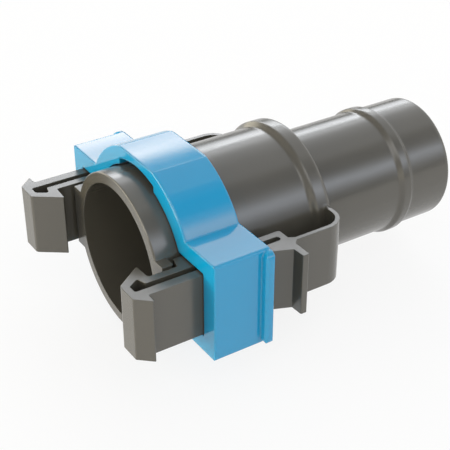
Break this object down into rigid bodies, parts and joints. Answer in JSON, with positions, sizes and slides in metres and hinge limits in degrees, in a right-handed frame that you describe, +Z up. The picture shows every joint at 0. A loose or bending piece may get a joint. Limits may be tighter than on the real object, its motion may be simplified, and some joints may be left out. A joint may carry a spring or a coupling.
{
  "type": "snap-lock tube connector",
  "caption": "Plastic socket tube with two hooked snap arms and a ribbed hose tail, locked by a blue collar that slides along the tube.",
  "frame": {"origin": "centre of the socket's open mouth, on the tube's axis", "axes": "+Y along the tube from the mouth to the hose tail, +X sideways to one snap arm, +Z up"},
  "size_m": [0.0886, 0.1266, 0.0588],
  "materials": {
    "grey_plastic": "satin moulded plastic",
    "blue_plastic": "glossy moulded plastic"
  },
  "bodies": {
    "body": {"connector_body": "grey_plastic"},
    "collar": {"locking_collar": "blue_plastic"}
  },
  "joints": [
    {"name": "collar_slide", "type": "slide", "parent": "body", "child": "collar", "axis": [0, 1, 0], "range_m": [-0.0164, 0.0033]}
  ]
}
